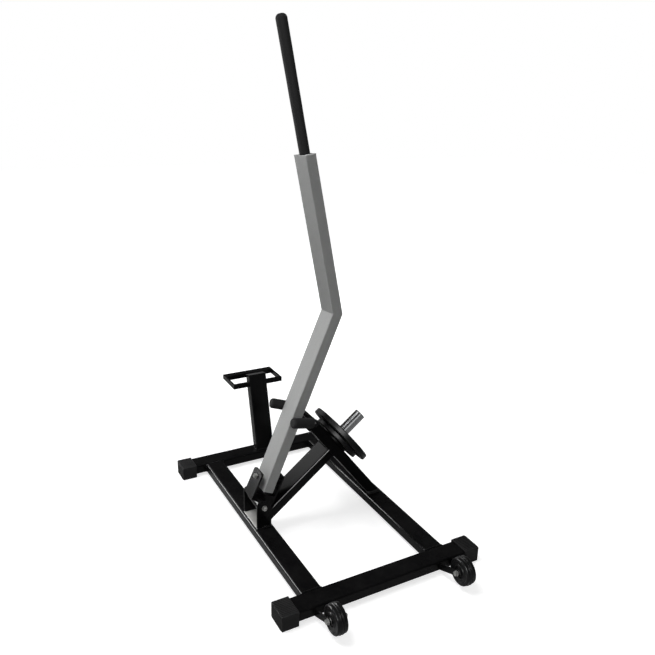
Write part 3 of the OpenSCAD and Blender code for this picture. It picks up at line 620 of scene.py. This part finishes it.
def end_cap(name, side, y0):
    """Moulded cap: a rounded block with ribs over its top and down its end, hollow where the tube goes in."""
    hw, hh, length = TUBE_W / 2 + CAP_WALL, TUBE_H / 2 + CAP_WALL, CAP_LEN + CAP_WALL
    edge, corner, steps = 2.4, 3.0, 4
    low_z = -TUBE_H / 2 - CAP_FOOT
    count = int((2 * hw - CAP_PITCH) / CAP_PITCH)
    spots = [(i - (count - 1) / 2) * CAP_PITCH for i in range(count)]
    half, slope = CAP_PITCH / 4, 0.9

    def rib(y):
        """Height of the ribs at y."""
        d = min(abs(y - s) for s in spots)
        return CAP_RIB * min(max((half + slope - d) / slope, 0.0), 1.0)

    ys = sorted({round(s + k, 4) for s in spots for k in (-half - slope, -half - slope * 0.45, -half, half,
                                                         half + slope * 0.45, half + slope)})

    def section(inset, x, rise, push):
        """Loop round the cap at x. rise lifts the ribs on the top and push moves them outwards."""
        a, b, r = hw - inset, hh - inset, max(corner - inset * 0.7, 0.6)
        arc = [(math.cos(rad(90 * i / steps)), math.sin(rad(90 * i / steps))) for i in range(steps + 1)]
        top = [(a - r + r * c, b - r + r * s) for c, s in arc]
        inner = [(y, b) for y in reversed(ys) if abs(y) < a - r - 0.2]
        chain = top + inner + [(-y, z) for y, z in reversed(top)]
        low = [(y, low_z + inset + (b - z)) for y, z in reversed(chain)]
        out = []
        for y, z in chain:
            out.append((x + push * rib(y), y, z + (rise * rib(y) if abs(y) < a - r else 0)))
        for y, z in low:
            out.append((x + push * rib(y), y, z))
        return out

    loops = [section(inset, x, rise, 0.0) for x, inset, rise in
             ((0.0, 0.7, 0.0), (0.7, 0.0, 0.0), (2.2, 0.0, 0.0), (3.2, 0.0, 1.0))]
    for k in range(5):
        c, s = math.cos(rad(90 * k / 4)), math.sin(rad(90 * k / 4))
        loops.append(section(edge * (1 - c), length - edge + edge * s, c, s))
    bm = bmesh.new()
    last = loft(bm, loops, cap_start=False, cap_end=False)[-1]
    # the end face, in quads between the top row and the low row
    m = len(last) // 2
    for i in range(m - 1):
        j = 2 * m - 1 - i
        bm.faces.new((last[i], last[i + 1], last[j - 1], last[j]))
    cup = [(0.0, y, z) for y, z in rrect(TUBE_W / 2, TUBE_H / 2, 4.6)]
    deep = [(CAP_LEN, y, z) for _, y, z in cup]
    loft(bm, [cup, deep], cap_start=False, cap_end=True)
    rim = [e for e in bm.edges if len(e.link_faces) == 1]
    bmesh.ops.bridge_loops(bm, edges=rim)
    add(name + "_piece", bm, PLACE @ T(side * (CROSS_LEN / 2 - CAP_LEN), y0 + TUBE_W / 2, TUBE_MID)
        @ Matrix.Diagonal((side, 1, 1, 1)), "base", "cap_rubber", (name,), sharp=MOULD_SHARP)


end_cap("cap_front_left", -1, 0.0)
end_cap("cap_front_right", 1, 0.0)
end_cap("cap_rear_left", -1, REAR_Y)
end_cap("cap_rear_right", 1, REAR_Y)

# Post: its local Z runs up its front face, and its foot is cut level
tube_piece("post", POST_W, POST_D, POST_TUBE_R,
           [lambda a, b: (a, b + POST_D / 2, (b + POST_D / 2) * math.tan(rad(-POST_LEAN))),
            lambda a, b: (a, b + POST_D / 2, POST_LEN)],
           PLACE @ T(0, POST_Y0, Z_TOP) @ rot(-POST_LEAN, "X"), "base")
soften("post_cap", 0.9, "black_plastic")
soften("pad_ring", 1.6, "frame_paint", segs=3)
soften("pivot_base", 0.8, "zinc", material="plated")
soften("pivot_plates", 0.9, "frame_paint")

YF = PIVOT_GAP / 2 + PIVOT_T
AXLE = PLACE @ T(-RAIL_X, PIVOT_Y, AXLE_Z)
bolt_end("axle_bolt_piece", AXLE_R, AXLE @ T(0, -YF, 0) @ rot(90, "X"), "base", nodes=("axle_bolt",),
         shank=(-2 * YF - WASHER_T - hex_height(AXLE_R) - BOLT_TIP, 0))
bolt_end("axle_nut_piece", AXLE_R, AXLE @ T(0, YF, 0) @ rot(-90, "X"), "base", nodes=("axle_nut",))

# ---------------------------------------------------------------- transport wheels
soften("wheel_brackets", 0.8, "frame_paint")
for side, tag in ((-1, "left"), (1, "right")):
    w = at_wheel(side)
    bolt_end("wheel_bolt_%s" % tag, WHEEL_BOLT_R, w @ T(0, 0, -BRACKET_T - WASHER_T) @ rot(180, "X"), "base",
             nodes=("wheel_bolts",),
             shank=(-(BRACKET_T + PLATE_OUT + 3 * WASHER_T + hex_height(WHEEL_BOLT_R)), 0))
    # the loose washers between the hub and the brackets
    wr, wt = WHEEL_BOLT_R * WASHER_K, WASHER_T - GAP
    for part, z in (("inner", -WASHER_T), ("outer", HUB_W + GAP)):
        turned("wheel_spacer_%s_%s" % (part, tag), [(WHEEL_BOLT_R, 0), (wr, 0), (wr, wt), (WHEEL_BOLT_R, wt)],
               [0, .5, .5, 0], w @ T(0, 0, z), "base", "zinc", segs=48)
    bolt_end("wheel_nut_%s" % tag, WHEEL_BOLT_R, w @ T(0, 0, PLATE_OUT), "base", nodes=("wheel_nuts",))
    # tyre: two sunk side faces, and a tread with two low ridges
    R, B, W, e = WHEEL_R, WHEEL_HUB_R, WHEEL_W, WHEEL_W / 2
    prof = [(B, 0), (B + 3, 0), (B + 5, 2.4), (R - 15, 2.4), (R - 12.5, 0), (R - 6, 0), (R - 2.2, 2.5),
            (R - 1.5, e - 6.5), (R, e - 5.5), (R, e - 3.5), (R - 1.5, e - 2.5), (R - 1.5, e + 2.5),
            (R, e + 3.5), (R, e + 5.5), (R - 1.5, e + 6.5), (R - 2.2, W - 2.5), (R - 6, W),
            (R - 12.5, W), (R - 15, W - 2.4), (B + 5, W - 2.4), (B + 3, W), (B, W)]
    radii = [0, .8, 1.2, 1.5, 1.5, 2.5, 3, .6, .6, .6, .6, .6, .6, .6, .6, 3, 2.5, 1.5, 1.5, 1.2, .8, 0]
    turned("tyre_%s_piece" % tag, prof, radii, w @ T(0, 0, HUB_PROUD), "wheel_" + tag, "tyre", ("tyre_" + tag,),
           segs=96, n=3)
    # hub: a boss round the bore and a sunk face
    bore, boss = WHEEL_BOLT_R + BORE_PLAY, WHEEL_BOLT_R * 2.1
    lo, hi = HUB_PROUD, HUB_W - HUB_PROUD
    prof = [(bore, 0), (boss, 0), (boss, 2.6), (B - 5, 4.6), (B - 3, lo), (B - 0.1, lo), (B - 0.1, hi), (B - 3, hi),
            (B - 5, HUB_W - 4.6), (boss, HUB_W - 2.6), (boss, HUB_W), (bore, HUB_W)]
    turned("wheel_hub_%s_piece" % tag, prof, [.5, 1, .8, .8, .8, .6, .6, .8, .8, .8, 1, .5], w, "wheel_" + tag,
           "black_plastic", ("wheel_hub_" + tag,), segs=72, n=3)

# ---------------------------------------------------------------- weight arm
HUB_L = PIVOT_GAP - 2 * GAP
turned("hub_tube_piece", [(AXLE_R + BORE_PLAY, -HUB_L / 2), (HUB_R, -HUB_L / 2), (HUB_R, HUB_L / 2),
                          (AXLE_R + BORE_PLAY, HUB_L / 2)],
       [.6, 1, 1, .6], ARM @ rot(-90, "X"), "weight_arm", "frame_paint", ("hub_tube",), segs=72)
soften("yoke", 0.9, "frame_paint")
tube_piece("arm_tube", ARM_D, ARM_H, ARM_TUBE_R, straight(ARM_START, BAR_NEAR), ARM @ T(0, 0, -ARM_DROP),
           "weight_arm")
soften("arm_plug", 1.0, "black_plastic")
PAD_TOP = Z_TOP + REST_GAP + REST_T


def bar_foot(a, b):
    """Point of the rest bar's outline at its level foot, on the pad; a is along Y and b along the arm."""
    s = BAR_S + b
    m = (PAD_TOP - AXLE_Z - s * math.sin(rad(ARM_SLOPE))) / math.cos(rad(ARM_SLOPE))
    return (s, a, m)


def bar_head(inset, drop):
    """Station near the rest bar's closed top, below it by drop and in from the sides by inset."""
    return lambda a, b: (BAR_S + b * (1 - inset / BAR_T * 2), a * (1 - inset / ARM_D * 2), BAR_TOP - drop)


tube_piece("rest_bar", ARM_D, BAR_T, BAR_TUBE_R, [bar_foot, bar_head(0, 3.0), bar_head(0.9, 0.9), bar_head(3.0, 0)],
           ARM, "weight_arm", closed_end=True, material="frame_matt")
bm = bmesh.new()
loft(bm, [[(x, y, z) for x, y in rrect(STRIP_T / 2 - e, ARM_D / 2 - e, 2.0, 4)] for z, e in
          ((0, 1.2), (0.5, 0.4), (1.4, 0), (STRIP_H - 1.4, 0), (STRIP_H - 0.5, 0.4), (STRIP_H, 1.2))])
add("rest_bar_strip", bm, ARM @ T(BAR_NEAR - STRIP_T / 2 + 0.05, 0, BAR_TOP - STRIP_H), "weight_arm", "frame_paint",
    ("rest_bar",))
soften("rest_pad", 2.0, "cap_rubber", segs=3)

# The cross rod and the two stops
turned("fork_rod_piece", [(0, 0), (FORK_R, 0), (FORK_R, 2 * PEG_Y), (0, 2 * PEG_Y)], [0, 1.5, 1.5, 0],
       ARM @ T(FORK_S, -PEG_Y, FORK_M) @ rot(-90, "X"), "weight_arm", "frame_paint", ("fork_rod",), closed=False)
PEG_BORE, PEG_DEEP = PEG_R / 2, PEG_LEN - PEG_R   # the hole in a foam sleeve
for side, tag in ((-1, "front"), (1, "rear")):
    bm = bmesh.new()
    ball = FORK_R * 1.3
    prof = [(0, -ball)] + [(ball * math.cos(rad(t)), ball * math.sin(rad(t))) for t in range(-80, 53, 12)]
    prof += [(PEG_BORE, ball * 0.8), (PEG_BORE, PEG_DEEP), (0, PEG_DEEP)]
    lathe(bm, prof, 40, closed=False)
    add("peg_stud_%s" % tag, bm, peg_frame(side), "weight_arm", "frame_paint", ("peg_studs",), sharp=40)
    z0 = FORK_R * 1.7
    turned("peg_%s_piece" % tag, [(PEG_BORE, z0), (PEG_R, z0), (PEG_R, PEG_LEN), (0, PEG_LEN), (0, PEG_DEEP),
                                  (PEG_BORE, PEG_DEEP)], [0, 2.5, PEG_R * 0.75, 0, 0, 0],
           peg_frame(side), "weight_arm", "grip_rubber", ("peg_" + tag,), segs=56, n=10, sharp=MOULD_SHARP)

# The sleeve and what is on it
inner = SLEEVE_R - SLEEVE_T
turned("sleeve_piece", [(inner, 0), (SLEEVE_R, 0), (SLEEVE_R, SLEEVE_LEN), (inner, SLEEVE_LEN)],
       [0, 0, .6, .4], along_arm(BAR_FAR), "weight_arm", "chrome", ("sleeve",), segs=96)
turned("sleeve_cap_piece", [(0, -SLEEVE_PLUG), (inner, -SLEEVE_PLUG), (inner, 0.1), (SLEEVE_R, 0.1),
                            (SLEEVE_R, SLEEVE_LIP), (0, SLEEVE_LIP)], [0, 1, 0, .3, 1.6, 0],
       along_arm(BAR_FAR + SLEEVE_LEN), "weight_arm", "black_plastic", ("sleeve_cap",), segs=80, closed=False)
turned("collar_piece", [(SLEEVE_R, 0), (COLLAR_R, 0), (COLLAR_R, COLLAR_T), (SLEEVE_R, COLLAR_T)], [0, 1, 1, 0],
       along_arm(BAR_FAR), "weight_arm", "frame_paint", ("collar",), segs=96, material="frame_matt")


def weight_plate(name, r, t, at, boss):
    """Plate with a raised rim and hub on both faces, and a boss of that height on its outer face."""
    b = SLEEVE_R + PLATE_FIT
    rim, sink = r * 0.13, t * 0.22
    prof = [(b, 0), (b + 18, 0), (b + 22, sink), (r - rim - 4, sink), (r - rim, 0), (r - 3, 0), (r, 3), (r, t - 3),
            (r - 3, t), (r - rim, t), (r - rim - 4, t - sink), (b + 22, t - sink), (b + 18, t)]
    radii = [1, 2, 2, 2.5, 2, 2, 2.5, 2.5, 2, 2, 2.5, 2, 2]
    if boss:
        prof += [(BOSS_R, t), (BOSS_R - 1, t + boss), (b, t + boss)]
        radii += [1.5, 1.2, 1]
    else:
        prof += [(b, t)]
        radii += [1]
    turned(name + "_piece", prof, radii, along_arm(at), name, "cast_iron", (name,), segs=128)


SMALL_S = BAR_FAR + COLLAR_T + GAP
weight_plate("plate_small", SMALL_R, SMALL_T, SMALL_S, 0)
weight_plate("plate_big", BIG_R, BIG_T, SMALL_S + SMALL_T + GAP, BOSS_H)

# ---------------------------------------------------------------- lever
LEVER_AXIS = LEVER @ rot(90, "Y")
bolt_end("lever_bolt_piece", BOLT_R, LEVER_AXIS @ T(0, 0, -EAR_N) @ rot(180, "X"), "weight_arm",
         nodes=("lever_bolt",), shank=(-(2 * EAR_N + WASHER_T + hex_height(BOLT_R) + BOLT_TIP), 0))
bolt_end("lever_nut_piece", BOLT_R, LEVER_AXIS @ T(0, 0, EAR_N), "weight_arm", nodes=("lever_nut",))

BEND_T = math.tan(rad(LEVER_BEND / 2))
BEND_C, BEND_S = math.cos(rad(LEVER_BEND)), math.sin(rad(LEVER_BEND))


def lever_point(u):
    """Station of the lever at u below the bend, at the bend if u is None, or beyond it if u is negative. a is
    along Y and b across."""
    if u is None:
        return lambda a, b: (b, a, LEVER_LOW + b * BEND_T)
    if u >= 0:
        return lambda a, b: (b, a, LEVER_LOW - u)
    return lambda a, b: (b * BEND_C + u * BEND_S, a, LEVER_LOW + b * BEND_S - u * BEND_C)


tube_piece("lever_tube", ARM_D, LEVER_H, LEVER_TUBE_R,
           [lever_point(LEVER_LOW + LEVER_TAIL), lever_point(None), lever_point(-LEVER_UP)], LEAN, "lever",
           "lever_paint")
BUSH_L, BUSH_IN, BUSH_OUT = EAR_N - EAR_T - YOKE_PLAY, BOLT_R + BORE_PLAY, BOLT_R + BUSH_T
turned("lever_bush_piece", [(BUSH_IN, -BUSH_L), (BUSH_OUT, -BUSH_L), (BUSH_OUT, BUSH_L), (BUSH_IN, BUSH_L)],
       [.5, .8, .8, .5], LEAN @ rot(90, "Y"), "lever", "zinc", ("lever_bush",), segs=64)
soften("lever_foot_cap", 0.8, "black_plastic")
soften("lever_top_cap", 0.9, "lever_paint")
ROD_LOW, ROD_END = LEVER_UP - ROD_IN, LEVER_UP + GRIP_LEN - GRIP_R
turned("grip_rod_piece", [(0, ROD_LOW), (ROD_R, ROD_LOW), (ROD_R, ROD_END), (0, ROD_END)], [0, 1, 1, 0], UPPER,
       "lever", "zinc", ("grip_rod",), closed=False)


def grip():
    """Foam sleeve, a touch wider towards its closed tip, with a rounded tip and a soft lip at its foot."""
    z0, z1 = LEVER_UP + TOP_CAP_T, LEVER_UP + TOP_CAP_T + GRIP_LEN
    prof = [(ROD_R, z0), (GRIP_R - 2.4, z0), (GRIP_R - 0.9, z0 + 2.5)]
    for i in range(1, 13):
        f = i / 13
        prof.append((GRIP_R - 0.9 + 0.9 * f + 0.12 * math.sin(f * 19), z0 + 2.5 + (z1 - z0 - 20) * f))
    k = GRIP_R * 0.8
    for i in range(9):
        t = rad(90 * i / 8)
        prof.append((GRIP_R - k + k * math.cos(t), z1 - k + k * math.sin(t)))
    prof += [(0, z1), (0, ROD_END), (ROD_R, ROD_END)]
    bm = bmesh.new()
    lathe(bm, prof, 64)
    add("grip_piece", bm, UPPER, "lever", "grip_rubber", ("grip",), sharp=MOULD_SHARP)


grip()

# ---------------------------------------------------------------- weld beads
X, Y, Z = 0, 1, 2


def run(axis, start, end, *others):
    """Two points that differ along one axis; others are their two other coordinates, in order."""
    return [others[:axis] + (v,) + others[axis:] for v in (start, end)]


paths = []
for side in (-1, 1):
    xc = side * RAIL_X
    for y, s in ((TUBE_W, 1), (REAR_Y, -1)):
        yy = y + s * 0.5
        paths.append(run(X, xc - TUBE_W / 2 + WELD_END, xc + TUBE_W / 2 - WELD_END, yy, Z_TOP - 0.6))
        for k in (-1, 1):
            paths.append(run(Z, Z_TUBE + WELD_END, Z_TOP - WELD_END, xc + k * (TUBE_W / 2 + 0.2), yy + s * WELD_LIFT))
welds("weld_corners", paths, "base", r=3.0)
post_y1 = POST_Y0 + POST_D / math.cos(rad(POST_LEAN))
paths = [run(X, -POST_W / 2 + WELD_END, POST_W / 2 - WELD_END, POST_Y0 - 0.6, Z_TOP + WELD_LIFT)]
for k in (-1, 1):
    paths.append(run(Y, POST_Y0 + WELD_END, post_y1 - WELD_END, k * (POST_W / 2 + 0.6), Z_TOP + WELD_LIFT))
welds("weld_post", paths, "base", r=3.2)
zr = Z_TOP + RING_TOP
paths = [run(Y, RING_Y0 + 1.5, RING_Y0 + RING_FRONT - 1.5, k * (POST_W / 2 + WELD_LIFT), z)
         for k in (-1, 1) for z in (zr - RING_H, zr)]
welds("weld_ring", paths, "base", r=2.2)
# the ears' inner feet and the base plate's sides
x0, x1 = -RAIL_X - PIVOT_W / 2, -RAIL_X + PIVOT_W / 2
paths = [run(X, x0 + WELD_END, x1 - WELD_END, PIVOT_Y + s * PIVOT_GAP / 2 - s * WELD_LIFT,
             Z_TOP + PIVOT_T - 1 + WELD_LIFT) for s in (-1, 1)]
paths += [run(Y, PIVOT_Y - PIVOT_GAP / 2, PIVOT_Y + PIVOT_GAP / 2, -RAIL_X + k * (PIVOT_W / 2 + 1.9),
              Z_TOP + WELD_LIFT) for k in (-1, 1)]
welds("weld_pivot", paths, "base", r=2.4)
# heavier beads over the base plate's front and rear edge
paths = [run(X, x0 - 0.5, x1 + 0.5, PIVOT_Y + s * (YF + WELD_LIFT), Z_TOP + 2.2) for s in (-1, 1)]
welds("weld_pivot_edge", paths, "base", r=3.4)
bracket_mid = TUBE_MID - 4
paths = [run(Z, bracket_mid - 8, bracket_mid + 14, s * RAIL_X + x, -0.6)
         for s in (-1, 1) for x in (-BRACKET_OFF - 0.6, WHEEL_X + PLATE_OUT + 0.6)]
welds("weld_brackets", paths, "base", r=2.2)
top, low, d = -ARM_DROP + ARM_H / 2, -ARM_DROP - ARM_H / 2, ARM_D / 2
paths = [run(Y, -d + 4, d - 4, BAR_NEAR - 0.6, top + 0.6),
         run(Y, -d + 4, d - 4, BAR_NEAR - 0.6, low - 0.6),
         run(Z, low + 4, top - 4, BAR_NEAR - 0.4, -d + 0.2),
         run(Z, low + 4, top - 4, BAR_NEAR - 0.4, d - 0.2)]
welds("weld_arm", paths, "weight_arm", r=3.0, frame_=ARM)
paths = [run(Y, -d + WELD_END, d - WELD_END, FORK_S + k * FORK_R * 0.8, BAR_TOP + 1.2) for k in (-1, 1)]
welds("weld_fork", paths, "weight_arm", r=2.6, frame_=ARM)

# ---------------------------------------------------------------- floor, light, camera
FLOOR_SIZE, FLOOR_GREY = 14.0, 0.55
GLOW_FROM, GLOW_TO = 0.8, 2.6       # metres from the middle between which the floor's own light rises
GLOW_MIDDLE, GLOW_FAR = 0.72, 1.0
FLOOR_IN_GLOSS = 0.2                # glow of the floor in reflections, as a share of what the camera sees
SKY = 0.06                          # dark studio round the lamps
HORIZON_FROM, HORIZON_TO = 0.02, 0.09   # heights between which a reflected sky turns from white to dark

bm = bmesh.new()
bmesh.ops.create_grid(bm, x_segments=8, y_segments=8, size=FLOOR_SIZE)
floor = to_object(bm, "floor", "floor")
floor_mat = bpy.data.materials.new("floor_white")
floor_mat.use_nodes = True
nt = floor_mat.node_tree
nt.nodes.clear()
out = nt.nodes.new("ShaderNodeOutputMaterial")
diff = nt.nodes.new("ShaderNodeBsdfDiffuse")
diff.inputs[0].default_value = (FLOOR_GREY, FLOOR_GREY, FLOOR_GREY, 1)
glow = nt.nodes.new("ShaderNodeEmission")
both = nt.nodes.new("ShaderNodeAddShader")
path = nt.nodes.new("ShaderNodeLightPath")
away = nt.nodes.new("ShaderNodeVectorMath")
away.operation = "LENGTH"
nt.links.new(coords(nt), away.inputs[0])
spread = map_range(nt, away.outputs["Value"], GLOW_FROM, GLOW_TO, GLOW_MIDDLE, GLOW_FAR, smooth=True)
seen = maths(nt, "MAXIMUM", path.outputs["Is Camera Ray"], path.outputs["Is Transmission Ray"])
mirrored = maths(nt, "MULTIPLY", path.outputs["Is Glossy Ray"], FLOOR_IN_GLOSS)
seen = maths(nt, "MAXIMUM", seen, mirrored)
nt.links.new(maths(nt, "MULTIPLY", seen, spread), glow.inputs[1])
nt.links.new(diff.outputs[0], both.inputs[0])
nt.links.new(glow.outputs[0], both.inputs[1])
nt.links.new(both.outputs[0], out.inputs[0])
floor.data.materials.append(floor_mat)

# The world is white for the camera and through glass, and in reflections white at the horizon and dark above it
world = bpy.data.worlds.new("studio")
bpy.context.scene.world = world
world.use_nodes = True
nt = world.node_tree
nt.nodes.clear()
out = nt.nodes.new("ShaderNodeOutputWorld")
bg = nt.nodes.new("ShaderNodeBackground")
bg.inputs[0].default_value = (1, 1, 1, 1)
path = nt.nodes.new("ShaderNodeLightPath")
direct = maths(nt, "MAXIMUM", path.outputs["Is Camera Ray"], path.outputs["Is Transmission Ray"])
ray = nt.nodes.new("ShaderNodeTexCoord")
parts = nt.nodes.new("ShaderNodeSeparateXYZ")
nt.links.new(ray.outputs["Generated"], parts.inputs[0])
horizon = map_range(nt, parts.outputs[2], HORIZON_FROM, HORIZON_TO, 1.0, 0.0)
seen = maths(nt, "MAXIMUM", direct, maths(nt, "MULTIPLY", path.outputs["Is Glossy Ray"], horizon))
nt.links.new(maths(nt, "MULTIPLY_ADD", seen, 1.0 - SKY, SKY), bg.inputs[1])
nt.links.new(bg.outputs[0], out.inputs[0])

# The strong cards are kept off the bare metal, which they would turn white
bare_metal = bpy.data.collections.new("bare_metal")
for o in bpy.context.scene.objects:
    if o.type == "MESH" and o.data.materials and o.data.materials[0] in (MATS["chrome"], MATS["zinc"]):
        bare_metal.objects.link(o)
for item in bare_metal.collection_objects:
    item.light_linking.link_state = "EXCLUDE"


def lamp(name, loc, target, size, power, card=False, glossy=True):
    """Soft rectangular lamp, unseen by the camera. A card only shows in reflections, and not in bare metal."""
    ld = bpy.data.lights.new(name, "AREA")
    ld.shape = "RECTANGLE"
    ld.size, ld.size_y = size
    ld.energy = power
    o = bpy.data.objects.new(name, ld)
    o.location = loc
    o.rotation_euler = (Vector(target) - Vector(loc)).to_track_quat("-Z", "Y").to_euler()
    o.visible_camera = False
    o.visible_glossy = glossy
    if card:
        o.visible_diffuse = False
        o.light_linking.receiver_collection = bare_metal
    bpy.context.scene.collection.objects.link(o)


lamp("key", (-1.9, 0.5, 5.2), (0, 0, 0.6), (2.4, 2.4), 200)
lamp("fill", (-1.2, -5.0, 2.6), (0, 0, 0.9), (2.5, 2.0), 44)
lamp("right_fill", (4.2, 2.4, 2.2), (0, 0, 0.9), (2.5, 2.0), 110, glossy=False)
lamp("arm_card", (-0.85, 3.2, 2.25), (0, 0, 0.3), (1.9, 1.8), 48, card=True)
lamp("side_card", (-3.05, 2.85, 0.95), (-0.1, 0, 0.1), (1.9, 1.4), 400, card=True)
lamp("top_card", (-2.0, -3.15, 2.95), (-0.1, 0, 0.3), (2.4, 1.9), 850, card=True)

# The photograph's camera: right, up and back as unit vectors in the part's frame
RIGHT = Vector((0.8768338, -0.4800797, 0.0261912))
UP = Vector((0.1341081, 0.2965256, 0.9455621))
BACK = Vector((-0.4617115, -0.8255883, 0.3243862))
CAMERA_AT = Vector((-1.278896, -2.379051, 1.804853))
FOCAL_PIXELS, IMAGE_PIXELS, SENSOR = 693.22, 655, 36.0
cam = bpy.data.cameras.new("camera")
cam.sensor_width = SENSOR
cam.sensor_fit = "HORIZONTAL"
cam.lens = FOCAL_PIXELS / IMAGE_PIXELS * SENSOR
cam.clip_end = 60
co = bpy.data.objects.new("camera", cam)
m = Matrix((RIGHT, UP, BACK)).transposed().to_4x4()
m.translation = CAMERA_AT
co.matrix_world = m
bpy.context.scene.collection.objects.link(co)
bpy.context.scene.camera = co
bpy.context.scene.view_settings.view_transform = "Standard"
